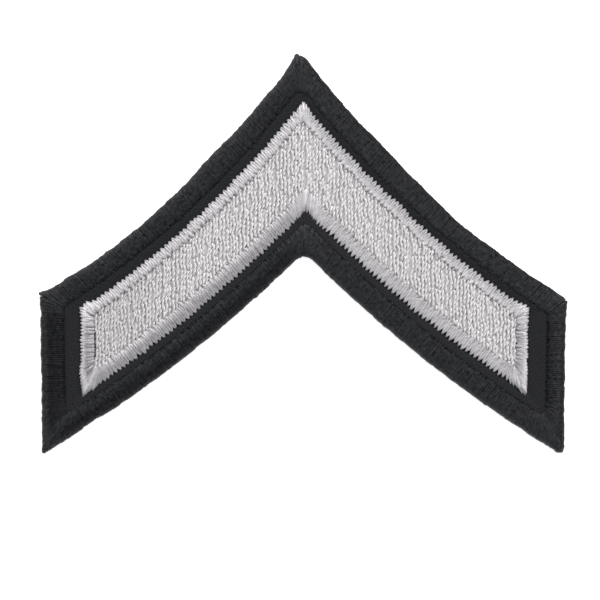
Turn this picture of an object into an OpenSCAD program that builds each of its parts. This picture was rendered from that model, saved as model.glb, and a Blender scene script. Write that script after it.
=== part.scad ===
// Embroidered rank chevron: black twill cut to a chevron, a black satin-stitched border
// wrapped over its cut edge, and a silver-grey chevron worked as a satin outline round a
// filled field. It lies on its back with +Z out of its face and +Y towards its point. The
// origin is on the back, under the middle of the patch's width and height.

/* [Patch] */
// Width of the patch over its two shoulders
patch_w = 76.0; // [60:0.1:110]
// Height of the patch from its tips to its point
patch_h = 57.6; // [48:0.1:80]
// Length along both edges over which the point and the notch are eased round
corner_ease = 1.9; // [0.5:0.1:3]
// Thickness of the twill ground
cloth_t = 1.0; // [0.6:0.05:2]

/* [Edge border] */
// Width of the satin-stitched border
border_w = 3.2; // [2:0.1:4]
// Rise of the border's crown above the cloth
border_rise = 0.6; // [0.3:0.05:1.2]
// Reach of the border's stitches out past the cloth's cut edge
border_wrap = 0.35; // [0.2:0.05:0.8]
// Height above the back at which the wrapped stitches turn under
border_hem = 0.1; // [0.05:0.05:0.3]

/* [Chevron] */
// Bare cloth between the border and the silver chevron, along the long edges
channel_w = 1.2; // [0.6:0.1:2]
// Width of the chevron's satin outline
outline_w = 1.9; // [1:0.1:3]
// Rise of the satin outline's crown above the cloth
outline_rise = 0.7; // [0.3:0.05:1.2]
// Rise of the filled field above the cloth
fill_rise = 0.45; // [0.2:0.05:1]

/* [Fit] */
// Gap between pieces that touch on the real patch
seat_gap = 0.05; // [0.02:0.01:0.1]

/* [Hidden] */

// Distance from the patch's long edges to the silver chevron
margin = border_w + channel_w;
// Height at which whatever is sewn on top of the cloth sits
seat_z = cloth_t + seat_gap;

// Columns of the corner tables after x and y. The bow is how far the edge that starts at a
// corner leans in towards the middle of the patch's cloth, as a share of its chord. The
// ease is how far the corner is eased round, as a share of corner_ease.
BOW_COLUMN = 2;
EASE_COLUMN = 3;

// Corners of the patch, clockwise from its point, as shares of half its width and height,
// where its edges would meet if the corners weren't eased
patch_corners = [
    [-0.014, 1.027, 0.045, 1],    // point
    [1.000, -0.229, 0, 0],        // right shoulder
    [0.990, -1.009, -0.031, 0.6], // right tip
    [0.004, 0.014, -0.0315, 1],   // notch
    [-0.990, -1.000, 0, 0],       // left tip
    [-1.000, -0.210, 0.0535, 0]   // left shoulder
];

// Corners of the silver chevron, as steps from the patch's corners in shares of the margin
chevron_steps = [
    [0.11, -1.72, 0.0335, 0],     // point
    [-1.22, -0.39, 0, 0],         // right shoulder
    [-1.20, 2.08, -0.029, 0],     // right tip
    [0.04, 1.44, -0.027, 0],      // notch
    [1.25, 1.94, 0, 0],           // left tip
    [1.34, -0.46, 0.037, 0]       // left shoulder
];

// An outline is a list of such corners with x, y and ease in mm, and in this column the
// curvature of the edge that starts there, in 1/mm, above 0 if it bows inwards
CURVE_COLUMN = 2;

// Straight steps along each curved edge, round each eased corner and over each crown
EDGE_STEPS = 14;
CORNER_STEPS = 4;
CROWN_STEPS = 12;
// Power that flattens a satin ridge's crown: 1 is a half ellipse
CROWN_POWER = 0.6;

function corner(outline, i) = [outline[i].x, outline[i].y];
function after(outline, i) = (i + 1) % len(outline);
function before(outline, i) = (i + len(outline) - 1) % len(outline);
function chord(outline, i) = corner(outline, after(outline, i)) - corner(outline, i);

// Unit normal of a direction, towards the inside of a clockwise outline
function inward(direction) = [direction.y, -direction.x] / norm(direction);

// An outline from placed corners, with each edge's bow turned into its curvature
function outlined(corners) = [
    for (i = [0 : len(corners) - 1])
    let (row = corners[i])
    [
        row.x,
        row.y,
        8 * row[BOW_COLUMN] / norm(chord(corners, i)),
        row[EASE_COLUMN] * corner_ease
    ]
];

// Inward normal of edge i at its start, where end is 1, or at its far end, where end is -1
function end_normal(outline, i, end) =
    let (
        along = chord(outline, i),
        lean = end * outline[i][CURVE_COLUMN] * norm(along) / 2
    )
    inward(along / norm(along) + lean * inward(along));

// The outline moved inwards by d: its corners on their mitres and its edges concentric
function inset(outline, d) = [
    for (i = [0 : len(outline) - 1])
    let (
        a = end_normal(outline, before(outline, i), -1),
        b = end_normal(outline, i, 1),
        at = corner(outline, i) + d * (a + b) / (1 + a * b),
        curve = outline[i][CURVE_COLUMN]
    )
    [at.x, at.y, curve / (1 + curve * d), outline[i][EASE_COLUMN]]
];

// Point on edge i, a share of the way along it
function edge_point(outline, i, share) =
    let (
        along = chord(outline, i),
        bow = outline[i][CURVE_COLUMN] * along * along / 8
    )
    corner(outline, i) + share * along + 4 * bow * share * (1 - share) * inward(along);

// Share of edge i that the easing of corner j takes up
function eased_share(outline, i, j) = outline[j][EASE_COLUMN] / norm(chord(outline, i));

// Points round corner i, from the edge before it up to the edge after it
function corner_points(outline, i) =
    let (
        h = before(outline, i),
        from = edge_point(outline, h, 1 - eased_share(outline, h, i)),
        to = edge_point(outline, i, eased_share(outline, i, i)),
        steps = outline[i][EASE_COLUMN] == 0 ? 0 : CORNER_STEPS
    )
    [
        for (step = [0 : 1 : steps - 1])
        let (t = step / steps)
        (1 - t) * (1 - t) * from + 2 * t * (1 - t) * corner(outline, i) + t * t * to
    ];

// Points along edge i, where a straight one needs only its first
function edge_points(outline, i) =
    let (
        first = eased_share(outline, i, i),
        last = 1 - eased_share(outline, i, after(outline, i)),
        steps = outline[i][CURVE_COLUMN] == 0 ? 1 : EDGE_STEPS
    )
    [
        for (step = [0 : steps - 1])
        edge_point(outline, i, first + (last - first) * step / steps)
    ];

// Points round an outline, clockwise
function trace(outline) = [
    for (i = [0 : len(outline) - 1])
    each concat(corner_points(outline, i), edge_points(outline, i))
];

patch_edge = outlined([
    for (row = patch_corners)
    [row.x * patch_w / 2, row.y * patch_h / 2, row[BOW_COLUMN], row[EASE_COLUMN]]
]);
chevron_edge = outlined([
    for (i = [0 : len(chevron_steps) - 1])
    let (
        at = corner(patch_edge, i) + margin * corner(chevron_steps, i),
        row = chevron_steps[i]
    )
    [at.x, at.y, row[BOW_COLUMN], row[EASE_COLUMN]]
]);

// Crown of a satin ridge from its outer foot to its inner foot, as [inset, height]
function crown(width, top, outer_foot, inner_foot) = [
    for (step = [0 : CROWN_STEPS])
    let (
        angle = 180 * step / CROWN_STEPS,
        foot = angle < 90 ? outer_foot : inner_foot
    )
    [width * (1 - cos(angle)) / 2, foot + (top - foot) * pow(sin(angle), CROWN_POWER)]
];

// A closed section of [inset, height] points carried all round an outline
module ridge(outline, section) {
    loops = [for (row = section) trace(inset(outline, row[0]))];
    around = len(loops[0]);
    points = [
        for (j = [0 : len(section) - 1])
        for (p = loops[j])
        [p.x, p.y, section[j][1]]
    ];
    faces = [
        for (j = [0 : len(section) - 1])
        let (k = (j + 1) % len(section))
        for (i = [0 : around - 1])
        let (m = (i + 1) % around)
        each [
            [j * around + i, j * around + m, k * around + m],
            [j * around + i, k * around + m, k * around + i]
        ]
    ];
    polyhedron(points, faces);
}

// The twill, cut just inside the border's outer edge
module ground_cloth() {
    color("#2f3034")
    linear_extrude(cloth_t)
    polygon(trace(inset(patch_edge, border_wrap)));
}

// The border rides on the cloth's face and hooks over its cut edge
module edge_border() {
    under = border_wrap - seat_gap;
    color("#36363a")
    ridge(patch_edge, concat(
        crown(border_w, cloth_t + border_rise, border_hem, seat_z),
        [[under, seat_z], [under, border_hem]]
    ));
}

// The silver satin outline sits on the cloth's face
module chevron_outline() {
    color("#cdcbcf")
    ridge(chevron_edge, crown(outline_w, cloth_t + outline_rise, seat_z, seat_z));
}

// The filled field reaches to the satin outline's inner foot
module chevron_fill() {
    color("#bfbfc1")
    translate([0, 0, seat_z])
    linear_extrude(fill_rise - seat_gap)
    polygon(trace(inset(chevron_edge, outline_w + seat_gap)));
}

ground_cloth();
edge_border();
chevron_outline();
chevron_fill();
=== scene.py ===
"""The looks of an embroidered rank chevron. Every thread that shows is laid as its own two-ply
yarn: a black satin border wrapped over the patch's cut edge, a silver satin outline and a silver
field sewn in upright rows, all on black twill. The patch lies on its back, point towards +Y."""

import functools
import math

import bpy
import numpy as np
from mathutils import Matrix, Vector


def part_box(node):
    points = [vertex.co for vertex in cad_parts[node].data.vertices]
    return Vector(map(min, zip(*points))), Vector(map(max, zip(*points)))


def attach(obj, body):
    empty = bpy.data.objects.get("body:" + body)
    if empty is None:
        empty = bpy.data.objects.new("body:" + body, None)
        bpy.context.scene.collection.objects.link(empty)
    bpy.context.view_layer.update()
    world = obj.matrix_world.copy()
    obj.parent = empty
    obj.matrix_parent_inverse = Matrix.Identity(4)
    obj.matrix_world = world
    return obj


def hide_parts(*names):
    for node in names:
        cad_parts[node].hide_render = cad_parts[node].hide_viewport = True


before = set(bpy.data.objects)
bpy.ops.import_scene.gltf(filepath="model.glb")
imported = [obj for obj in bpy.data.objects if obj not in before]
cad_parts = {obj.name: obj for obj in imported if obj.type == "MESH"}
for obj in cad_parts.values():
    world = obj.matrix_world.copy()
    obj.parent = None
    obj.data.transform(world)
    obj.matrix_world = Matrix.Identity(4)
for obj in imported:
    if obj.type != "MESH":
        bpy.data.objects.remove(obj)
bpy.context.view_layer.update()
rng = np.random.default_rng(76)

# Sewing is worked out in millimetres, and meshes are made in metres
MM = 0.001

# Names of the edges, clockwise from the patch's point. An edge starts at the corner of its number.
TOP_RIGHT, RIGHT_END, BOTTOM_RIGHT, BOTTOM_LEFT, LEFT_END, TOP_LEFT = range(6)

# Corners of the patch, clockwise from its point. x and y are shares of half its width and height,
# bow is that of the edge that starts there, as a share of its chord, and ease is how far the
# corner is eased round, as a share of EASE.
PATCH_CORNERS = (
    # x, y, bow, ease
    (-0.014, 1.027, 0.045, 0.85),
    (1.000, -0.229, 0.0, 0.05),
    (0.990, -1.009, -0.031, 0.6),
    (0.004, 0.014, -0.0315, 1.0),
    (-0.990, -1.000, 0.0, 0.05),
    (-1.000, -0.210, 0.0535, 0.05),
)
EASE = 1.9

# Corners of the silver chevron, as steps from the patch's corners in shares of MARGIN, its bows,
# and how many millimetres each corner is eased round over
CHEVRON_CORNERS = (
    # x, y, bow, ease
    (0.11, -1.72, 0.0335, 0.15),
    (-1.22, -0.39, 0.0, 0.15),
    (-1.20, 2.08, -0.029, 0.15),
    (0.04, 1.44, -0.027, 0.15),
    (1.25, 1.94, 0.0, 0.9),
    (1.34, -0.46, 0.037, 0.15),
)
MARGIN = 4.4

# Widths of the black border and of the silver outline along each edge
BORDER_WIDTHS = np.array([3.15, 2.8, 3.4, 3.2, 3.45, 3.15])
OUTLINE_WIDTHS = np.array([1.55, 1.65, 1.93, 1.95, 1.9, 1.55])
# How far inside the silver chevron's edges its outline is sewn
OUTLINE_TRIM = np.array([-0.2, 0.02, -0.36, -0.43, -0.08, -0.15])

# The two plies of a thread turn once round each other in LAY
LAY = 1.6
# Their twist is uneven: turns gained or lost over each LAY, and turns ahead and back in each swell
TWIST_DRIFT = 0.02
TWIST_SWING, TWIST_SWELL = 0.07, 4.3
# Thickness of each piece's threads as a share of their width, and how far their plies swing up and
# down and from side to side round the thread, as shares of its thickness and its width
BORDER_FLATNESS, BORDER_PLIES = 0.5, (0.07, 0.09)
OUTLINE_FLATNESS, OUTLINE_PLIES = 0.23, (0.05, 0.05)
FIELD_FLATNESS, FIELD_PLIES = 0.86, (0.18, 0.17)
# How much of its girth a thread loses at its start and at its end
NIPS, OUTLINE_NIPS = (0.5, 0.5), (0.95, 0.45)
# A thread thickens from its start over TAPER, to this power of the distance, and narrows again over
# the last END_REACH
TAPER, TAPER_POWER, END_REACH = 0.8, 0.9, 0.35

# Power that flattens a satin crown: 1 is a half ellipse
CROWN_POWER = 0.6
# How each edge is sewn. Climb is the power of the crown's slope on its outer side, crest how far
# across its top is, slope the power on the inner side, foot how high above the cloth its inner
# side ends, pitch the distance from thread to thread, width a thread's, and draw how far in from
# the outer side two threads start to draw together to the hole that they share.
BORDER_SEWING = (
    # climb, crest, slope, foot, pitch, width, draw
    (0.6, 0.4, 1.8, 0.26, 0.27, 0.5, 0.0),
    (0.6, 0.25, 1.8, 0.1, 0.27, 0.5, 0.0),
    (0.6, 0.4, 1.5, 0.2, 0.27, 0.5, 0.0),
    (0.6, 0.6, 1.2, 0.2, 0.27, 0.5, 0.0),
    (0.6, 0.16, 1.6, 0.12, 0.27, 0.5, 0.0),
    (0.6, 0.3, 1.8, 0.24, 0.27, 0.5, 0.0),
)
OUTLINE_SEWING = (
    # climb, crest, slope, foot, pitch, width, draw
    (0.8, 0.59, 1.0, 0.34, 0.36, 0.7, 0.65),
    (0.6, 0.26, 1.6, 0.3, 0.245, 0.68, 0.4),
    (0.7, 0.5, 0.8, 0.3, 0.36, 0.7, 0.9),
    (0.6, 0.6, 0.8, 0.3, 0.36, 0.7, 0.55),
    (0.6, 0.22, 1.8, -0.1, 0.245, 0.68, 0.65),
    (0.8, 0.6, 1.0, 0.3, 0.36, 0.7, 0.5),
)
# Painted light and shade on each edge of the black border, at PAINTED_LIGHT_PLACES: factors on its
# thread's colour and gloss. Where it lies across the light, the painted shade makes it greyer.
PAINTED_LIGHT_PLACES = (0.15, 0.5, 0.85)
BORDER_PAINTED_LIGHT = (
    # outer side, middle, inner side
    (0.37, 0.86, 1.15),
    (0.49, 0.89, 0.61),
    (1.7, 0.9, 0.75),
    (1.34, 0.5, 0.84),
    (1.65, 0.41, 0.51),
    (1.32, 0.84, 0.76),
)
# The same for each edge of the silver outline
OUTLINE_PAINTED_LIGHT = (
    # outer side, middle, inner side
    (0.7, 0.59, 1.35),
    (1.73, 0.75, 0.67),
    (1.12, 0.9, 0.66),
    (0.94, 0.53, 0.89),
    (1.43, 0.5, 0.82),
    (0.92, 0.91, 1.0),
)
# Where the border's outer edge swells or dips: the edge, the share of the way along it, how far it
# reaches out, and over what length to either side
BORDER_NUBS = (
    # edge, share, out, spread
    (TOP_RIGHT, 0.0, -0.22, 1.4),
    (TOP_RIGHT, 0.36, 0.27, 5.0),
    (TOP_RIGHT, 0.49, 0.12, 0.7),
    (TOP_RIGHT, 0.66, -0.28, 3.5),
    (TOP_RIGHT, 0.95, 0.20, 2.5),
    (RIGHT_END, 0.0, 0.16, 1.5),
    (BOTTOM_LEFT, 0.82, -0.2, 2.6),
    (TOP_LEFT, 0.0, 0.5, 1.6),
    (TOP_LEFT, 0.08, 0.18, 1.5),
    (TOP_LEFT, 0.28, -0.14, 6.0),
    (TOP_LEFT, 0.62, 0.32, 4.5),
    (TOP_LEFT, 0.93, -0.24, 3.2),
    (TOP_LEFT, 1.0, 0.22, 1.5),
)
# The same for the silver outline's outer edge
CHEVRON_NUBS = (
    # edge, share, out, spread
    (TOP_RIGHT, 0.0, -0.12, 1.0),
    (TOP_RIGHT, 0.45, 0.14, 3.0),
    (TOP_RIGHT, 0.97, 0.4, 1.6),
    (TOP_RIGHT, 1.0, 0.22, 0.6),
    (BOTTOM_RIGHT, 0.0, 0.1, 1.2),
    (LEFT_END, 0.05, -0.2, 1.3),
    (LEFT_END, 0.27, 0.15, 1.2),
    (LEFT_END, 0.99, 0.14, 0.8),
    (TOP_LEFT, 0.02, 0.5, 1.0),
    (TOP_LEFT, 1.0, -0.12, 1.0),
)

# Towards a corner a satin column's stitches fan out over FAN_REACH, and over FAN_GROWTH more for
# each millimetre that the mitre cuts off its inner side, to this power of the distance. SAFE_SLOPE
# keeps the holes of the inner side from running back.
FAN_REACH, FAN_GROWTH, FAN_POWER, SAFE_SLOPE = 1.2, 1.35, 2.0, 0.9
# Lengths of the waves in which a satin column's outer side wavers and its crown is lumpy, and how
# far along the column a lump shifts from the outer to the inner side, in waves
WAVER_WAVES = (2.3, 4.7, 9.0)
LUMP_WAVES, LUMP_SLANT = (0.9, 1.3, 1.9, 2.8, 4.1), 1.2
# Within CORNER of a corner the needle strays up to CORNER_STRAY times as far, the threads' tone
# varies at random by up to CORNER_SHADES more than the THREAD_SHADES that it does elsewhere, and
# the tables' painted light and shade fades to 1
CORNER, CORNER_STRAY = 3.0, 1.5
THREAD_SHADES, CORNER_SHADES = 0.04, 0.08
# How far a thread bows sideways, as a share of its length
THREAD_BOW = 0.009
# Threads that draw together thicken over their draw and this much more
DRAWN_TAPER = 0.7
# They draw together at the inner side too, over this many pitches
INNER_DRAW = 1.2
# Share of the way across over which painted shade darkens threads at the outer side's needle holes
HOLE_SHADE_REACH = 0.17

# Width of the field's threads, distance from row to row, and between what shares of it that varies
FIELD_WIDTH = 0.52
ROW_PITCH, ROW_GAPS = 0.5, (0.77, 1.23)
# How far the first row, at the left, and the last are in from the satin's inner corners
FIRST_ROW_IN, LAST_ROW_IN = 0.34, 0.18
# Rows are tucked under the satin by this much, and by up to TUCK_MORE more
TUCK, TUCK_MORE = 0.35, 0.3
# Distance from point to point along a row
ROW_STEP = 0.13
# Sway of a row by itself, and the sway that it shares with its neighbours, each with the lengths
# of its waves, and about how many waves the shared one shifts by per millimetre across
OWN_SWAY, OWN_WAVES = 0.035, (1.9, 3.1, 7.0)
SHARED_SWAY, SHARED_WAVES, SHARED_SLANT = 0.05, (2.6, 4.3, 7.1), 0.4
# Depth of the rows' middles under the field's top, and how much higher or lower a whole row lies
ROW_DEPTH, ROW_HEIGHTS = 0.24, 0.06
# How far a row dips at its ends, and at each hole in it, and over what length to either side
END_DIP, END_DIP_REACH = 0.22, 0.3
HOLE_DIPS, HOLE_REACH = (0.08, 0.28), 0.2
# The first hole is up to FIRST_STITCH along a row, and the next ones a stitch of these lengths on
FIRST_STITCH, STITCHES = 4.0, (2.4, 5.0)
# How much painted shade darkens the field at its left end, and over what length that fades
LEFT_PAINTED_SHADE, LEFT_PAINTED_SHADE_REACH = 0.12, 9.0
# The needle left a slit open between the left end's satin and the field: from y to y, how far the
# first row is pushed aside there, how far it leans to the satin elsewhere, and how soft a change is
SLIT = -15.05, -11.0
SLIT_PUSH, SLIT_LEAN, SLIT_EASE = 0.2, 0.08, 0.3
# Where two of the field's rows part and the shade between them shows: x, from y to y, and how far
# each is pushed aside. Rows within about PARTING_REACH of there give way, softly over PARTING_EASE.
PARTINGS = (
    # x, from y, to y, push
    (-24.6, -9.6, -7.4, 0.11),
    (-15.9, -2.4, -0.2, 0.17),
    (-9.3, 5.2, 7.2, 0.11),
    (-4.0, 10.6, 13.0, 0.16),
    (0.15, 9.6, 12.9, 0.15),
    (3.4, 9.4, 13.1, 0.18),
    (10.2, 3.6, 6.2, 0.11),
    (15.5, -2.6, 2.4, 0.15),
    (22.4, -7.0, -4.6, 0.11),
)
PARTING_REACH, PARTING_EASE = 1.2 * ROW_PITCH, 0.5

# How far the middles of the crest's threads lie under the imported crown's top, so that their own
# tops come about up to it
BORDER_DEPTH, OUTLINE_DEPTH = 0.15, 0.16
# Height of the border's wrapped outer ends, and how far the outline's are below the cloth's top
BORDER_HEM, OUTLINE_HEM = 0.05, 0.15
# How far the outline's threads reach in over the field
FIELD_OVERLAP = 0.1

# The padding's top is this far below the stitches', its feet this far below the cloth's top, and
# its outer side this far in from the edge
PAD_DEPTH, PAD_FOOT, PAD_INDENT = 0.4, 0.1, 0.3
# The height of the border padding's outer foot, over the cut edge
PAD_HEM = 0.06
# The field's padding: its foot below the cloth's top, how far in from the field's edges it starts,
# and the share of its colour and gloss that painted shade between the rows leaves
FIELD_PAD_FOOT, FIELD_PAD_INSETS, FIELD_PAD_PAINTED_SHADE = 0.05, [0.0, 0.15, 0.0, 0.0, 0.5, 0.0], 0.8
# Steps along each edge of a padding
PAD_STEPS = [60, 24, 60, 60, 24, 60]

# The twill is cut this far inside the border's outer edge, with a small bevel of inset and drop at
# its top, and lies just clear of the floor, whose face would flicker through the back's otherwise
CUT_INSET, BEVEL_INSET, BEVEL_DROP = 0.36, 0.4, 0.03
BACK_HEIGHT = 0.02
# The cloth that shows starts SWELL_START under the border's inner side, swells to nearly SWELL
# within 1 / SWELL_RISE of the way to the silver chevron, and falls to end SWELL_END inside the
# chevron's edge
SWELL_START, SWELL, SWELL_RISE, SWELL_END = 0.35, 0.28, 6, 0.3
SWELL_ROWS = 18
# Steps along the twill's long edges and along its two ends
LONG_STEPS, SHORT_STEPS = 150, 50


def unit(vectors):
    """Vectors at length 1."""
    vectors = np.asarray(vectors, float)
    return vectors / np.linalg.norm(vectors, axis=-1, keepdims=True)


def inward(directions):
    """Unit normals to the inside of a clockwise outline that runs in these directions."""
    d = unit(directions)
    return np.stack([d[..., 1], -d[..., 0]], axis=-1)


def bell(distance, spread):
    """A smooth hump that is 1 at no distance and has all but gone at twice the spread."""
    return np.exp(-((distance / spread) ** 2))


def between(places, first, last, ease):
    """1 at places between the first and the last and 0 outside them, with soft ends."""
    return (1 + np.tanh((places - first) / ease) * np.tanh((last - places) / ease)) / 2


def turns(count):
    """An angle in radians, from a count of turns."""
    return 2 * np.pi * count


class Outline:
    """A closed clockwise outline of bowed edges. Edge i starts at corner i."""

    def __init__(self, corners, curves, eases):
        self.corners = np.array(corners, float)
        self.curves = np.array(curves, float)
        self.eases = np.array(eases, float)
        self.count = len(self.corners)
        self.chords = np.roll(self.corners, -1, axis=0) - self.corners
        self.lengths = np.linalg.norm(self.chords, axis=1)
        self.bows = self.curves * self.lengths**2 / 8

    @classmethod
    def bowed(cls, corners, bows, eases):
        """From each edge's bow as a share of its chord."""
        corners = np.array(corners, float)
        lengths = np.linalg.norm(np.roll(corners, -1, axis=0) - corners, axis=1)
        return cls(corners, 8 * np.array(bows) / lengths, eases)

    def point(self, i, share):
        """Points at shares of the way along edge i."""
        share = np.asarray(share, float)[..., None]
        bow = 4 * self.bows[i] * share * (1 - share) * inward(self.chords[i])
        return self.corners[i] + share * self.chords[i] + bow

    def normal(self, i, share):
        """Inward normals at shares of the way along edge i."""
        share = np.asarray(share, float)[..., None]
        lean = 4 * self.bows[i] * (1 - 2 * share) * inward(self.chords[i])
        return inward(self.chords[i] + lean)

    def inset(self, depths):
        """The outline with edge i moved inwards by depths[i]."""
        depths = np.broadcast_to(depths, self.count)
        corners = []
        for i in range(self.count):
            before, after = self.normal(i - 1, 1.0), self.normal(i, 0.0)
            lean = before @ after
            by_before = (depths[i - 1] - lean * depths[i]) / (1 - lean**2)
            by_after = (depths[i] - lean * depths[i - 1]) / (1 - lean**2)
            corners.append(self.corners[i] + by_before * before + by_after * after)
        return Outline(corners, self.curves / (1 + self.curves * depths), self.eases)

    def at(self, i, along):
        """Points at distances along edge i, round the eased corners at its two ends."""
        along = np.asarray(along, float)
        j = (i + 1) % self.count
        places = self.point(i, along / self.lengths[i])
        for corner, distance, side in ((i, along, 1), (j, self.lengths[i] - along, -1)):
            ease = self.eases[corner]
            start = self.point(corner - 1, 1 - ease / self.lengths[corner - 1])
            end = self.point(corner, ease / self.lengths[corner])
            t = (0.5 + side * 0.5 * np.clip(distance / ease, 0, 1))[..., None]
            turn = (1 - t) ** 2 * start + 2 * t * (1 - t) * self.corners[corner] + t**2 * end
            places = np.where((distance < ease)[..., None], turn, places)
        return places

    def trace(self, steps):
        """Points all the way round, with steps[i] of them along edge i."""
        runs = []
        for i in range(self.count):
            runs.append(self.at(i, self.lengths[i] * np.arange(steps[i]) / steps[i]))
        return np.concatenate(runs)


def patch_outline():
    """The patch's outer edge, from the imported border's size."""
    low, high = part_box("edge_border")
    half_w, half_h = high.x / MM, -low.y / MM
    corners = [(x * half_w, y * half_h) for x, y, bow, ease in PATCH_CORNERS]
    bows = [row[2] for row in PATCH_CORNERS]
    return Outline.bowed(corners, bows, [EASE * row[3] for row in PATCH_CORNERS])


def silver_chevron(patch):
    """The silver chevron's outer edge, from the patch's corners."""
    corners = [
        corner + MARGIN * np.array(row[:2]) for corner, row in zip(patch.corners, CHEVRON_CORNERS)
    ]
    bows = [row[2] for row in CHEVRON_CORNERS]
    return Outline.bowed(corners, bows, [row[3] for row in CHEVRON_CORNERS])


PATCH = patch_outline()
CHEVRON = silver_chevron(PATCH)
FIELD = CHEVRON.inset(OUTLINE_WIDTHS)

CLOTH_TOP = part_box("ground_cloth")[1].z / MM
BORDER_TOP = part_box("edge_border")[1].z / MM
OUTLINE_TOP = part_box("chevron_outline")[1].z / MM
FIELD_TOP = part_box("chevron_fill")[1].z / MM


def mesh_piece(name, points, faces, drawn, material):
    """A mesh object from points in millimetres, riding on the patch. Drawn is its map, a place for
    each face corner. Faces with more than four corners stay flat, and all else is smooth."""
    mesh = bpy.data.meshes.new(name)
    mesh.from_pydata((points * MM).tolist(), [], faces)
    mesh.uv_layers.new(name="thread_run").uv.foreach_set("vector", drawn.astype(np.float32).ravel())
    mesh.shade_smooth()
    mesh.polygons.foreach_set("use_smooth", [len(face) <= 4 for face in faces])
    mesh.materials.append(material)
    piece = bpy.data.objects.new(name, mesh)
    bpy.context.scene.collection.objects.link(piece)
    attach(piece, "root")
    return piece


def add_tone_and_painted_light(piece, tone_and_painted_light):
    """Stores at each point a factor on the thread's colour and gloss: its tone and painted light
    and shade.
    """
    kept = piece.data.attributes.new("tone_and_painted_light", "FLOAT", "POINT")
    kept.data.foreach_set("value", tone_and_painted_light.astype(np.float32))


@functools.lru_cache(maxsize=None)
def tube_faces(rings, sides):
    """Faces of a closed tube of rings with flat ends, and their corners' shares round and rings."""
    ring, side = np.meshgrid(np.arange(rings - 1), np.arange(sides), indexing="ij")
    around = np.stack([side, side + 1, side + 1, side], axis=-1).reshape(-1, 4)
    steps = np.stack([ring, ring, ring + 1, ring + 1], axis=-1).reshape(-1, 4)
    walls = steps * sides + around % sides
    fan = np.array([[0, m, m + 1, m + 2] for m in range(1, sides - 2, 2)])
    ends = np.concatenate([fan[:, ::-1], (rings - 1) * sides + fan])
    corners = np.stack([around / sides, steps], axis=-1).reshape(-1, 2)
    end_turns = np.tile(fan / sides, (2, 1)).reshape(-1, 1)
    end_steps = np.repeat([0, rings - 1], fan.size)[:, None]
    end_corners = np.hstack([end_turns, end_steps])
    return np.concatenate([walls, ends]), np.concatenate([corners, end_corners])


def ring_faces(loops):
    """Faces round a solid ring of closed loops with equally many points, the last joined to the
    first."""
    count, around = len(loops), len(loops[0])
    j, i = np.meshgrid(np.arange(count), np.arange(around), indexing="ij")
    k, m = (j + 1) % count, (i + 1) % around
    faces = [k * around + i, k * around + m, j * around + m, j * around + i]
    return np.stack(faces, axis=-1).reshape(-1, 4)


class Needlework:
    """Threads gathered into one mesh, where each ply is a tube with that many sides. The mesh's
    map has a ply's number and the share round it in u, and the millimetres along it in v."""

    def __init__(self, sides, flatness, swing, nips=NIPS):
        self.sides, self.flatness, self.swing, self.nips = sides, flatness, swing, nips
        self.points, self.faces, self.maps, self.tones_and_painted_light = [], [], [], []
        self.size, self.plies = 0, 0

    def lay(self, path, width, turn, tone_and_painted_light, taper=TAPER):
        """A thread along a path, in its two plies, starting a share of a turn into its twist. It
        thickens from its nipped start over the taper. Its tone and painted light and shade, a
        factor on its colour and gloss, is given for each point of the path."""
        steps = np.linalg.norm(np.diff(path, axis=0), axis=1)
        run = np.concatenate([[0], np.cumsum(steps)])
        along = unit(np.gradient(path, axis=0))
        heading = path[-1] - path[0]
        across = unit([heading[1], -heading[0], 0.0])
        up = self.flatness * width * np.cross(across, along)
        across = width * across
        faces, corners = tube_faces(len(path), self.sides)
        slack = rng.normal(scale=TWIST_DRIFT) * run / LAY
        slack += TWIST_SWING * np.sin(turns(run / TWIST_SWELL + rng.random()))
        girth = 1 - self.nips[0] * np.clip(1 - run / taper, 0, 1) ** TAPER_POWER
        girth = (girth - self.nips[1] * bell(run[-1] - run, END_REACH))[:, None]
        rise, spread = self.swing
        round_ply = turns(np.arange(self.sides) / self.sides)[None, :, None]
        wall = (0.5 - rise) * np.cos(round_ply) * up[:, None, :]
        wall = wall + (0.5 - spread) * np.sin(round_ply) * across[None, None, :]
        for strand in (0.0, 0.5):
            twist = turns(run / LAY + slack + turn + strand)[:, None]
            centre = path + girth * (rise * np.cos(twist) * up + spread * np.sin(twist) * across)
            points = centre[:, None, :] + girth[:, None] * wall
            self.points.append(points.reshape(-1, 3))
            self.faces.append(faces + self.size)
            self.maps.append(
                np.column_stack([self.plies + corners[:, 0], run[corners[:, 1].astype(int)]])
            )
            self.tones_and_painted_light.append(np.repeat(tone_and_painted_light, self.sides))
            self.size += len(path) * self.sides
            self.plies += 1

    def made(self, name, material):
        """All its threads as a piece."""
        points, faces = np.concatenate(self.points), np.concatenate(self.faces)
        piece = mesh_piece(name, points, faces.tolist(), np.concatenate(self.maps), material)
        add_tone_and_painted_light(piece, np.concatenate(self.tones_and_painted_light))
        return piece


def crown(top, outer_foot, inner_foot, climb=CROWN_POWER, crest=0.5, slope=CROWN_POWER, steps=181):
    """A satin crown's section: share of the width across from the outer side, and height. The crest
    is a share of the way across. Climb and slope are the powers of its outer and its inner side."""
    angle = np.linspace(-np.pi / 2, np.pi / 2, steps)
    outer = angle < 0
    share = crest + np.sin(angle) * np.where(outer, crest, 1 - crest)
    foot = np.where(outer, outer_foot, inner_foot)
    power = np.where(outer, climb, slope)
    return share, foot + (top - foot) * np.abs(np.cos(angle)) ** power


def evenly(path, rings):
    """A path as that many points, evenly spaced along it."""
    steps = np.linalg.norm(np.diff(path, axis=0), axis=1)
    run = np.concatenate([[0], np.cumsum(steps)])
    wanted = np.linspace(0, run[-1], rings)
    return np.stack([np.interp(wanted, run, axis) for axis in path.T], axis=-1)


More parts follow.
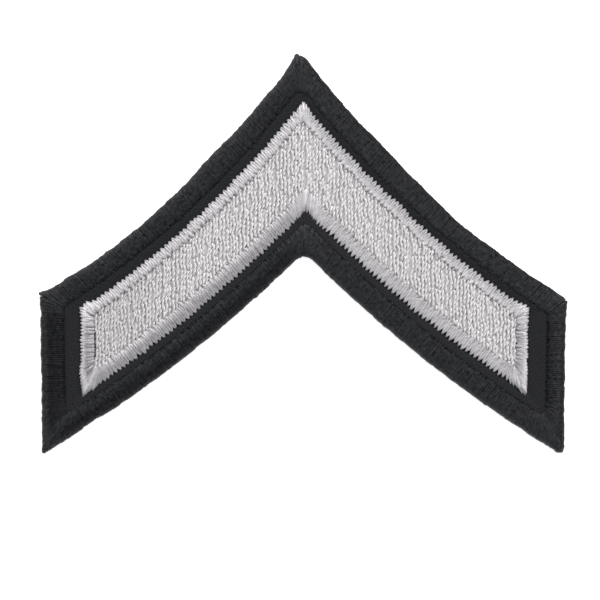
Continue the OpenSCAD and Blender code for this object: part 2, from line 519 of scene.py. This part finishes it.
def stations(outer, inner, i, pitch):
    """Distances along edge i's two sides of the holes of a satin column. They're opposite each
    other along most of the edge, and fan out towards its corners."""
    heading = unit(outer.chords[i])
    j = (i + 1) % outer.count
    start = (inner.corners[i] - outer.corners[i]) @ heading
    end = (outer.corners[j] - inner.corners[j]) @ heading
    length = outer.lengths[i]
    fine_steps = 800
    here = np.linspace(0, length, fine_steps)
    there = here.copy()
    for cut, distance, side in ((start, here, 1), (end, length - here, -1)):
        reach = FAN_REACH + FAN_GROWTH * abs(cut)
        power = FAN_POWER if cut <= 0 else min(FAN_POWER, SAFE_SLOPE * reach / cut)
        there += side * cut * np.clip(1 - distance / reach, 0, 1) ** power
    there -= start
    steps = np.maximum(np.abs(np.diff(here)), np.abs(np.diff(there)))
    run = np.concatenate([[0], np.cumsum(steps)])
    count = 2 * round(run[-1] / pitch / 2)
    wanted = np.linspace(0, run[-1], count + 1)
    scale = inner.lengths[i] / (length - start - end)
    return np.interp(wanted, run, here), np.interp(wanted, run, there) * scale


def waver(places, size, waves):
    """A slow random waver of about that size, with waves of those lengths."""
    return sum(
        rng.normal(scale=size) * np.sin(turns(places / wave + rng.random())) for wave in waves
    )


def lumps(places, share, size):
    """Uneven heights over a satin column, from places along it, one a thread, and shares across."""
    total = np.zeros((len(places), len(share)))
    for wave in LUMP_WAVES:
        slant = rng.normal(scale=LUMP_SLANT)
        total += size * np.sin(turns(places[:, None] / wave + slant * share + rng.random()))
    return total


class SatinColumn:
    """A satin column sewn as a zigzag round an outline, from its outer side over its crest to its
    inner side. Stitches lie side by side and share their holes in twos."""

    def __init__(self, outer, inner, sewing, top, hem, rings, strays, uneven, nubs, tone_and_painted_light, painted_hole_shade):
        self.outer, self.inner = outer, inner
        # A row for each edge, with BORDER_SEWING's columns
        self.sewing = sewing
        # Heights of the crest's threads and of their outer ends
        self.top, self.hem = top, hem
        # Points along each thread
        self.rings = rings
        # How far the needle strays at the outer holes, and lengthwise at a stitch's inner end, in
        # shares of the pitch
        self.outer_stray, self.inner_stray = strays
        # How far the outer side wavers, how high its lumps are, and how much threads rise and sink
        self.wavering, self.lumpiness, self.lift = uneven
        # Rows with BORDER_NUBS' columns
        self.nubs = nubs
        # A row for each edge, with BORDER_PAINTED_LIGHT's columns of painted light and shade
        self.tone_and_painted_light = tone_and_painted_light
        # How much painted shade darkens its threads at the outer holes
        self.painted_hole_shade = painted_hole_shade

    def reach(self, i, here):
        """How far beyond the outline each thread on edge i starts, from places along that edge."""
        reach = waver(here, self.wavering, WAVER_WAVES)
        for edge, share, out, spread in self.nubs:
            if edge == i:
                reach = reach + out * bell(here - share * self.outer.lengths[i], spread)
        return reach

    def kept_tone_and_painted_light(self, i, inland):
        """The factor on the colour and gloss of a thread on edge i at each of its rings: painted
        light and shade from the tables and at the outer holes, and a random tone. Inland is 0 at a
        corner, and 1 from
        CORNER away from it."""
        ring = np.linspace(0, 1, self.rings)
        kept = 1 + (np.interp(ring, PAINTED_LIGHT_PLACES, self.tone_and_painted_light[i]) - 1) * inland
        kept = kept * (1 - self.painted_hole_shade * bell(ring, HOLE_SHADE_REACH))
        return kept * rng.normal(1, THREAD_SHADES + CORNER_SHADES * (1 - inland))

    def sew(self, work, i):
        """Lays the threads of edge i."""
        climb, crest, slope, foot, pitch, width, draw = self.sewing[i]
        share, height = crown(self.top, self.hem, CLOTH_TOP + foot, climb, crest, slope)
        length = self.outer.lengths[i]
        holes = stations(self.outer, self.inner, i, pitch)
        number = np.arange(len(holes[0]))
        stitch = number[:-1]
        # A stitch starts halfway between two holes, and is drawn to the one that a neighbour
        # shares: the even one at the outer side, and the odd one at the inner side
        here = np.interp(stitch + 0.5, number, holes[0])
        there = np.interp(stitch + 0.5, number, holes[1])
        even, odd = stitch + stitch % 2, stitch + 1 - stitch % 2
        lanes = self.outer.at(i, here), self.inner.at(i, there)
        pulls = (
            self.outer.at(i, holes[0][even]) - lanes[0],
            self.inner.at(i, holes[1][odd]) - lanes[1],
        )
        starts = lanes[0] - self.outer.normal(i, here / length) * self.reach(i, here)[:, None]
        arch = np.sin(np.pi * share)
        bumps = lumps(here, share, self.lumpiness) * arch
        missed = rng.normal(size=(len(number), 2))
        for k in stitch:
            inland = min(here[k], length - here[k], CORNER) / CORNER
            stray = self.outer_stray * pitch * (CORNER_STRAY - (CORNER_STRAY - 1) * inland)
            start, end = starts[k] + stray * missed[even[k]], lanes[1][k]
            span = np.linalg.norm(end - start)
            end = end + rng.normal(scale=self.inner_stray * pitch) * unit(end - start)
            line = end - start
            side = np.array([-line[1], line[0]])
            bow = 4 * rng.normal(scale=THREAD_BOW) * share * (1 - share)
            flat = start + share[:, None] * line + bow[:, None] * side
            if draw:
                drawn = np.clip(1 - share * span / draw, 0, 1)[:, None]
                flat = flat + drawn * pulls[0][k]
                drawn = np.clip(1 - (1 - share) * span / (INNER_DRAW * pitch), 0, 1)[:, None]
                flat = flat + drawn * pulls[1][k]
            rise = height + bumps[k] + rng.normal(scale=self.lift) * arch
            path = evenly(np.column_stack([flat, rise]), self.rings)
            kept = self.kept_tone_and_painted_light(i, inland)
            work.lay(path, width, rng.random(), kept, DRAWN_TAPER + draw if draw else TAPER)


def node(tree, kind, values=None, links=None, **settings):
    """Adds a node: settings are its own, values its sockets' constants, links what feeds them."""
    added = tree.nodes.new(kind)
    for name, value in settings.items():
        setattr(added, name, value)
    for socket, value in (values or {}).items():
        added.inputs[socket].default_value = value
    for socket, source in (links or {}).items():
        tree.links.new(source, added.inputs[socket])
    return added


def linear(hex_colour, alpha=1.0):
    """An sRGB hex colour as linear RGBA."""
    channels = [int(hex_colour[k : k + 2], 16) / 255 for k in (1, 3, 5)]
    return tuple(
        c / 12.92 if c <= 0.04045 else ((c + 0.055) / 1.055) ** 2.4 for c in channels
    ) + (alpha,)


def surface(name, values):
    """A new material, its node tree, and its Principled shader with these constants set."""
    material = bpy.data.materials.new(name)
    material.use_nodes = True
    tree = material.node_tree
    shader = tree.nodes["Principled BSDF"]
    for socket, value in values.items():
        shader.inputs[socket].default_value = value
    return material, tree, shader


def embroidery_thread(name, dark, light, roughness, ior, metallic, lint, drifting):
    """Trilobal polyester filament, spun in two plies: soft glints that run along each ply, fine
    filament lines, and a shade that drifts a little from thread to thread. Lint is how far its
    gloss rises and falls with it, and drifting how often the shade changes per ply and per mm."""
    material, tree, shader = surface(
        name, {"Roughness": roughness, "IOR": ior, "Metallic": metallic}
    )
    run = node(tree, "ShaderNodeUVMap", uv_map="thread_run").outputs["UV"]
    # Filaments are 0.02 mm thick. Drawn as 9 ridges round a ply, so that they show at all.
    filaments = node(tree, "ShaderNodeMapping", {"Scale": (9.0, 0.7, 1.0)}, {"Vector": run})
    ridges = node(
        tree,
        "ShaderNodeTexNoise",
        {"Scale": 1.0, "Detail": 2.0, "Roughness": 0.6},
        {"Vector": filaments.outputs[0]},
    )
    bump = node(
        tree,
        "ShaderNodeBump",
        {"Strength": 0.35, "Distance": 0.03 * MM},
        {"Height": ridges.outputs["Fac"]},
    )
    # Dye takes unevenly, and lint settles on the thread
    drift_run = node(tree, "ShaderNodeMapping", {"Scale": (*drifting, 1.0)}, {"Vector": run})
    drift = node(
        tree,
        "ShaderNodeTexNoise",
        {"Scale": 1.0, "Detail": 3.0, "Roughness": 0.8},
        {"Vector": drift_run.outputs[0]},
    ).outputs["Fac"]
    shade = node(
        tree,
        "ShaderNodeMix",
        {"A": linear(dark), "B": linear(light)},
        {"Factor": drift},
        data_type="RGBA",
    )
    # The points' tone and painted light and shade scale the thread's colour, and its gloss below
    tone_and_painted_light = node(tree, "ShaderNodeAttribute", attribute_name="tone_and_painted_light")
    colour = node(
        tree,
        "ShaderNodeMix",
        {"Factor": 1.0},
        {"A": shade.outputs["Result"], "B": tone_and_painted_light.outputs["Color"]},
        data_type="RGBA",
        blend_type="MULTIPLY",
    )
    # 0.5 is a filament's plain gloss
    shine = node(
        tree,
        "ShaderNodeMapRange",
        {"From Min": 0.3, "From Max": 0.7, "To Min": 0.5 - lint, "To Max": 0.5 + lint},
        {"Value": drift},
    )
    gloss = node(
        tree,
        "ShaderNodeMath",
        links={0: tone_and_painted_light.outputs["Fac"], 1: shine.outputs[0]},
        operation="MULTIPLY",
    )
    tree.links.new(gloss.outputs[0], shader.inputs["Specular IOR Level"])
    tree.links.new(colour.outputs["Result"], shader.inputs["Base Color"])
    tree.links.new(bump.outputs["Normal"], shader.inputs["Normal"])
    return material


def bands(spacing):
    """The scale of a wave texture whose bands are that many millimetres apart on the map."""
    return math.tau / 20 / spacing


def polyester_twill():
    """Black polyester twill: matt, with diagonal ribs 0.55 mm apart over yarns 0.27 mm apart."""
    material, tree, shader = surface("polyester_twill", {"Roughness": 0.75, "IOR": 1.36})
    run = node(tree, "ShaderNodeUVMap", uv_map="thread_run").outputs["UV"]
    turned = node(
        tree, "ShaderNodeMapping", {"Rotation": (0.0, 0.0, math.radians(34))}, {"Vector": run}
    ).outputs[0]
    ribs = node(
        tree,
        "ShaderNodeTexWave",
        {"Scale": bands(0.55), "Distortion": 0.6, "Detail": 2.0, "Detail Scale": 2.0},
        {"Vector": turned},
    ).outputs["Fac"]
    yarns = node(
        tree,
        "ShaderNodeTexWave",
        {"Scale": bands(0.27), "Distortion": 0.8, "Detail": 2.0, "Detail Scale": 3.0},
        {"Vector": run},
        bands_direction="Y",
    ).outputs["Fac"]
    # Yarns stand out about a third as much as ribs
    weave = node(
        tree, "ShaderNodeMath", {1: 0.35}, {0: yarns, 2: ribs}, operation="MULTIPLY_ADD"
    ).outputs[0]
    # Lint and fibre ends on the cloth, in specks of about 0.3 mm, stand higher than its weave
    lint = node(
        tree, "ShaderNodeTexNoise", {"Scale": 3.2, "Detail": 2.0}, {"Vector": run}
    ).outputs["Fac"]
    nap = node(tree, "ShaderNodeMath", {1: 6.0}, {0: lint, 2: weave}, operation="MULTIPLY_ADD")
    bump = node(
        tree, "ShaderNodeBump", {"Strength": 0.4, "Distance": 0.05 * MM}, {"Height": nap.outputs[0]}
    )
    # Painted shade: the cloth's colour darkens where the weave's bump sinks, and lightens on its
    # ribs
    shade = node(
        tree,
        "ShaderNodeMapRange",
        {"From Max": 1.35, "To Min": 0.7, "To Max": 1.15},
        {"Value": weave},
    )
    specks = node(
        tree,
        "ShaderNodeMapRange",
        {"From Min": 0.3, "From Max": 0.7, "To Min": 0.3, "To Max": 1.75},
        {"Value": lint},
    )
    lint_and_groove_shade = node(
        tree,
        "ShaderNodeMath",
        links={0: shade.outputs[0], 1: specks.outputs[0]},
        operation="MULTIPLY",
    )
    colour = node(
        tree,
        "ShaderNodeMix",
        {"Factor": 1.0, "A": linear("#0d0e11")},
        {"B": lint_and_groove_shade.outputs[0]},
        data_type="RGBA",
        blend_type="MULTIPLY",
    )
    tree.links.new(colour.outputs["Result"], shader.inputs["Base Color"])
    tree.links.new(bump.outputs["Normal"], shader.inputs["Normal"])
    return material


def in_halves(column, name, threads, material):
    """A satin column sewn as two pieces, one for the patch's right half and one for its left.
    Threads are what Needlework is told of them."""
    pieces = []
    for half, edges in (
        ("right", (TOP_RIGHT, RIGHT_END, BOTTOM_RIGHT)),
        ("left", (BOTTOM_LEFT, LEFT_END, TOP_LEFT)),
    ):
        work = Needlework(*threads)
        for i in edges:
            column.sew(work, i)
        pieces.append(work.made(f"{name}_{half}", material))
    return pieces


def sewn_border(black_thread):
    """The black satin border, sewn over padding and wrapped over the cut edge, in two halves."""
    column = SatinColumn(
        outer=PATCH,
        inner=PATCH.inset(BORDER_WIDTHS),
        sewing=BORDER_SEWING,
        top=BORDER_TOP - BORDER_DEPTH,
        hem=BORDER_HEM,
        rings=24,
        strays=(0.1, 0.37),
        uneven=(0.02, 0.012, 0.007),
        nubs=BORDER_NUBS,
        tone_and_painted_light=BORDER_PAINTED_LIGHT,
        painted_hole_shade=0.0,
    )
    threads = 4, BORDER_FLATNESS, BORDER_PLIES
    return in_halves(column, "edge_border", threads, black_thread)


def sewn_outline(silver_thread):
    """The silver satin outline, in two halves."""
    column = SatinColumn(
        outer=CHEVRON.inset(OUTLINE_TRIM),
        inner=FIELD.inset(FIELD_OVERLAP),
        sewing=OUTLINE_SEWING,
        top=OUTLINE_TOP - OUTLINE_DEPTH,
        hem=CLOTH_TOP - OUTLINE_HEM,
        rings=20,
        strays=(0.15, 0.33),
        uneven=(0.03, 0.004, 0.004),
        nubs=CHEVRON_NUBS,
        tone_and_painted_light=OUTLINE_PAINTED_LIGHT,
        painted_hole_shade=0.3,
    )
    threads = 6, OUTLINE_FLATNESS, OUTLINE_PLIES, OUTLINE_NIPS
    return in_halves(column, "chevron_outline", threads, silver_thread)


def row_sway(x, y, first, leans):
    """How far the field's row at x is pushed to the right at each y. The first row has the slit
    beside it, and leans are the waves that it shares with its neighbours."""
    sway = waver(y, OWN_SWAY, OWN_WAVES)
    for wave, slant, phase in leans:
        sway = sway + SHARED_SWAY * np.sin(turns(y / wave + slant * x + phase))
    if first:
        sway = SLIT_PUSH * between(y, *SLIT, SLIT_EASE) - SLIT_LEAN
    for place, low, high, push in PARTINGS:
        aside = np.sign(x - place) * push * bell(x - place, PARTING_REACH)
        sway = sway + aside * between(y, low, high, PARTING_EASE)
    return sway


def row_heights(y):
    """Heights of a row of stitches, which dips at its ends and wherever the needle went down."""
    height = np.full(len(y), FIELD_TOP - ROW_DEPTH) + rng.normal(scale=ROW_HEIGHTS)
    height -= END_DIP * bell(np.minimum(y - y[0], y[-1] - y), END_DIP_REACH)
    hole = y[0] + FIRST_STITCH * rng.random()
    while hole < y[-1]:
        height -= rng.uniform(*HOLE_DIPS) * bell(y - hole, HOLE_REACH)
        hole += rng.uniform(*STITCHES)
    return height


def sewn_field(silver_thread):
    """The silver field: upright rows of stitches, in two halves."""
    steps = np.linspace(0, 1, 60)
    upper = np.concatenate([FIELD.point(TOP_LEFT, steps), FIELD.point(TOP_RIGHT, steps[1:])])
    lower = np.concatenate(
        [FIELD.point(BOTTOM_LEFT, steps[::-1]), FIELD.point(BOTTOM_RIGHT, steps[::-1][1:])]
    )
    left = FIELD.corners[[LEFT_END, TOP_LEFT], 0].max() + FIRST_ROW_IN
    right = FIELD.corners[[RIGHT_END, BOTTOM_RIGHT], 0].min() - LAST_ROW_IN
    middle = FIELD.corners[BOTTOM_LEFT, 0]
    works = {
        "chevron_fill_left": Needlework(6, FIELD_FLATNESS, FIELD_PLIES),
        "chevron_fill_right": Needlework(6, FIELD_FLATNESS, FIELD_PLIES),
    }
    leans = [(wave, rng.normal(scale=SHARED_SLANT), rng.random()) for wave in SHARED_WAVES]
    gaps = rng.uniform(*ROW_GAPS, size=round((right - left) / ROW_PITCH))
    for x in left + (right - left) * np.concatenate([[0], np.cumsum(gaps) / gaps.sum()]):
        low = np.interp(x, lower[:, 0], lower[:, 1]) - TUCK - TUCK_MORE * rng.random()
        high = np.interp(x, upper[:, 0], upper[:, 1]) + TUCK + TUCK_MORE * rng.random()
        y = np.linspace(low, high, round((high - low) / ROW_STEP) + 1)
        path = np.column_stack([x + row_sway(x, y, x == left, leans), y, row_heights(y)])
        work = works["chevron_fill_left" if x < middle else "chevron_fill_right"]
        kept = 1 - LEFT_PAINTED_SHADE * bell(x - left, LEFT_PAINTED_SHADE_REACH)
        work.lay(path, FIELD_WIDTH, rng.random(), np.full(len(y), kept))
    return [work.made(name, silver_thread) for name, work in works.items()]


def satin_padding(name, outline, widths, section, thread):
    """Underlay swept round under a satin column, with the section of its crown."""
    loops = []
    for share, height in zip(*section):
        flat = outline.inset(PAD_INDENT + share * (widths - PAD_INDENT)).trace(PAD_STEPS)
        loops.append(np.column_stack([flat, np.full(len(flat), height)]))
    points = np.concatenate(loops)
    # These faces start at the fourth corner, and so are split along the diagonal from there
    faces = np.roll(ring_faces(loops), 1, axis=1)
    pad = mesh_piece(name, points, faces.tolist(), points[faces.reshape(-1), :2], thread)
    add_tone_and_painted_light(pad, np.ones(len(points)))
    return pad


def field_padding(thread):
    """Underlay as a slab under the field's rows."""
    flat = FIELD.inset(FIELD_PAD_INSETS).trace(PAD_STEPS)
    count = len(flat)
    base = np.column_stack([flat, np.full(count, CLOTH_TOP - FIELD_PAD_FOOT)])
    top = np.column_stack([flat, np.full(count, FIELD_TOP - PAD_DEPTH)])
    points = np.concatenate([base, top])
    ring = np.arange(count)
    walls = np.stack([ring, np.roll(ring, -1), np.roll(ring, -1) + count, ring + count], axis=-1)
    faces = walls[:, ::-1].tolist() + [ring.tolist(), (ring + count)[::-1].tolist()]
    corners = np.concatenate([np.array(face) for face in faces])
    pad = mesh_piece("fill_padding", points, faces, points[corners, :2], thread)
    # Painted shade darkens the padding, which lies deep between the rows
    add_tone_and_painted_light(pad, np.full(2 * count, FIELD_PAD_PAINTED_SHADE))
    return pad


def padding(silver_thread, black_thread):
    """What the stitches are sewn over: rows of underlay in the same threads."""
    foot = CLOTH_TOP - PAD_FOOT
    border_section = crown(BORDER_TOP - PAD_DEPTH, PAD_HEM, foot, crest=0.4, slope=1.0, steps=13)
    outline_section = crown(OUTLINE_TOP - PAD_DEPTH, foot, foot, crest=0.45, steps=13)
    return [
        satin_padding("border_padding", PATCH, BORDER_WIDTHS, border_section, black_thread),
        satin_padding("outline_padding", CHEVRON, OUTLINE_WIDTHS, outline_section, silver_thread),
        field_padding(silver_thread),
    ]


def twill_ground(twill):
    """The black twill, swelling up to meet the border where the cloth shows, and an even back."""
    long, short = LONG_STEPS, SHORT_STEPS
    steps = [long, short, long, long, short, long]
    loops = []
    for inset, height in (
        (CUT_INSET, BACK_HEIGHT),
        (CUT_INSET, CLOTH_TOP - BEVEL_DROP),
        (BEVEL_INSET, CLOTH_TOP),
    ):
        flat = PATCH.inset(inset).trace(steps)
        loops.append(np.column_stack([flat, np.full(len(flat), height)]))
    start = PATCH.inset(BORDER_WIDTHS - SWELL_START).trace(steps)
    end = CHEVRON.inset(SWELL_END).trace(steps)
    for k in range(SWELL_ROWS + 1):
        across = k / SWELL_ROWS
        flat = start + (end - start) * across
        swell = SWELL * (1 - across**2) * min(1.0, SWELL_RISE * across)
        loops.append(np.column_stack([flat, np.full(len(flat), CLOTH_TOP + swell)]))
    count, around = len(loops), len(loops[0])
    # Walls join each loop to the next, and so leave out the last of a ring's faces
    walls = ring_faces(loops)[: (count - 1) * around]
    # The back is a grid from the upper edges down to the lower ones, within the first loop
    right, right_tip, left_tip = long, long + short, 3 * long + short
    left = left_tip + short
    ring = np.arange(around)
    grid = np.zeros((short + 1, 2 * long + 1), int)
    grid[0] = np.concatenate([ring[left:], ring[: right + 1]])
    grid[-1] = ring[right_tip : left_tip + 1][::-1]
    grid[:, 0] = ring[left_tip : left + 1][::-1]
    grid[:, -1] = ring[right : right_tip + 1]
    down = np.linspace(0, 1, short + 1)[1:-1, None, None]
    inside = loops[0][grid[0, 1:-1]] * (1 - down) + loops[0][grid[-1, 1:-1]] * down
    grid[1:-1, 1:-1] = count * around + np.arange(inside.shape[0] * inside.shape[1]).reshape(
        inside.shape[:2]
    )
    back = np.stack([grid[:-1, :-1], grid[:-1, 1:], grid[1:, 1:], grid[1:, :-1]], axis=-1)
    front = ((count - 1) * around + ring)[::-1].tolist()
    faces = walls.tolist() + back.reshape(-1, 4).tolist() + [front]
    points = np.concatenate([*loops, inside.reshape(-1, 3)])
    corners = np.concatenate([np.array(face) for face in faces])
    return mesh_piece("ground_twill", points, faces, points[corners, :2], twill)


def white_board():
    """The floor: a white acrylic board, lit from below too, which all but takes the shadow away."""
    mesh = bpy.data.meshes.new("floor")
    half = 1.5
    mesh.from_pydata(
        [(-half, -half, 0), (half, -half, 0), (half, half, 0), (-half, half, 0)], [], [(0, 1, 2, 3)]
    )
    floor = bpy.data.objects.new("floor", mesh)
    bpy.context.scene.collection.objects.link(floor)
    material, tree, shader = surface(
        "white_acrylic",
        {
            "Base Color": linear("#fafafa"),
            "Roughness": 0.9,
            "Emission Color": linear("#fdfeff"),
            "Emission Strength": 0.6,
        },
    )
    mesh.materials.append(material)
    return floor


def studio_light():
    """Soft light: pale air all round, and softboxes overhead and behind the patch's point."""
    scene = bpy.context.scene
    world = bpy.data.worlds.new("studio_air")
    world.use_nodes = True
    world.node_tree.nodes["Background"].inputs["Color"].default_value = linear("#f6f8fa")
    world.node_tree.nodes["Background"].inputs["Strength"].default_value = 0.47
    scene.world = world
    for name, place, size, watts in (
        ("softbox_above", (0.1, 0.45, 0.42), (0.9, 0.2), 5.9),
        ("softbox_overhead", (0.0, -0.1, 0.8), (0.5, 0.5), 1.0),
    ):
        light = bpy.data.lights.new(name, "AREA")
        light.shape = "RECTANGLE"
        light.size, light.size_y = size
        light.energy = watts
        lamp = bpy.data.objects.new(name, light)
        lamp.location = place
        lamp.rotation_mode = "QUATERNION"
        lamp.rotation_quaternion = (-Vector(place)).to_track_quat("-Z", "Y")
        scene.collection.objects.link(lamp)


def camera_above():
    """The camera, straight above the patch. At the cloth's face its view is as wide as the span."""
    # Where the middle of the photograph's frame is on the patch
    right, up = -0.446, -6.597
    camera = bpy.data.cameras.new("camera")
    span, distance = 86.706 * MM, 0.6
    camera.sensor_width = 36.0
    camera.lens = camera.sensor_width * distance / span
    eye = bpy.data.objects.new("camera", camera)
    eye.location = (right * MM, up * MM, distance + CLOTH_TOP * MM)
    bpy.context.scene.collection.objects.link(eye)
    bpy.context.scene.camera = eye
    bpy.context.scene.view_settings.view_transform = "Standard"


# Polyester's index of refraction is about 1.57. The black's is matched lower, because its filaments
# scatter much of what they reflect. Lint lies on it in specks of about 0.5 mm, which take in two
# threads side by side.
black_thread = embroidery_thread(
    "black_polyester_thread",
    dark="#07080a",
    light="#212226",
    roughness=0.6,
    ior=1.37,
    metallic=0.0,
    lint=0.42,
    drifting=(0.27, 1.8),
)
# A little metal in the silver's threads stands for the light that comes back out of the filaments.
# The satin's lie flat and stretched, so they're smoother and have more of it.
silver_thread = embroidery_thread(
    "silver_polyester_thread",
    dark="#a3a1a2",
    light="#dfdbdc",
    roughness=0.48,
    ior=1.55,
    metallic=0.05,
    lint=0.0,
    drifting=(0.7, 1.1),
)
# Darker colours than the silver thread's: painted shade, where the flat satin mirrors the light
# away
shaded_satin_thread = embroidery_thread(
    "silver_polyester_satin_shaded",
    dark="#9b999b",
    light="#cbc7c9",
    roughness=0.42,
    ior=1.55,
    metallic=0.2,
    lint=0.0,
    drifting=(0.5, 1.1),
)
twill = polyester_twill()
floor = white_board()
studio_light()
camera_above()

ground = twill_ground(twill)
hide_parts("ground_cloth")
border = sewn_border(black_thread)
outline = sewn_outline(shaded_satin_thread)
field = sewn_field(silver_thread)
border_pad, outline_pad, field_pad = padding(silver_thread, black_thread)
for pieces, replaced, slot in (
    ([*border, border_pad], "edge_border", "black_thread"),
    ([*outline, outline_pad], "chevron_outline", "silver_thread"),
    ([*field, field_pad], "chevron_fill", "silver_thread"),
):
    for piece in pieces:
        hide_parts(replaced)
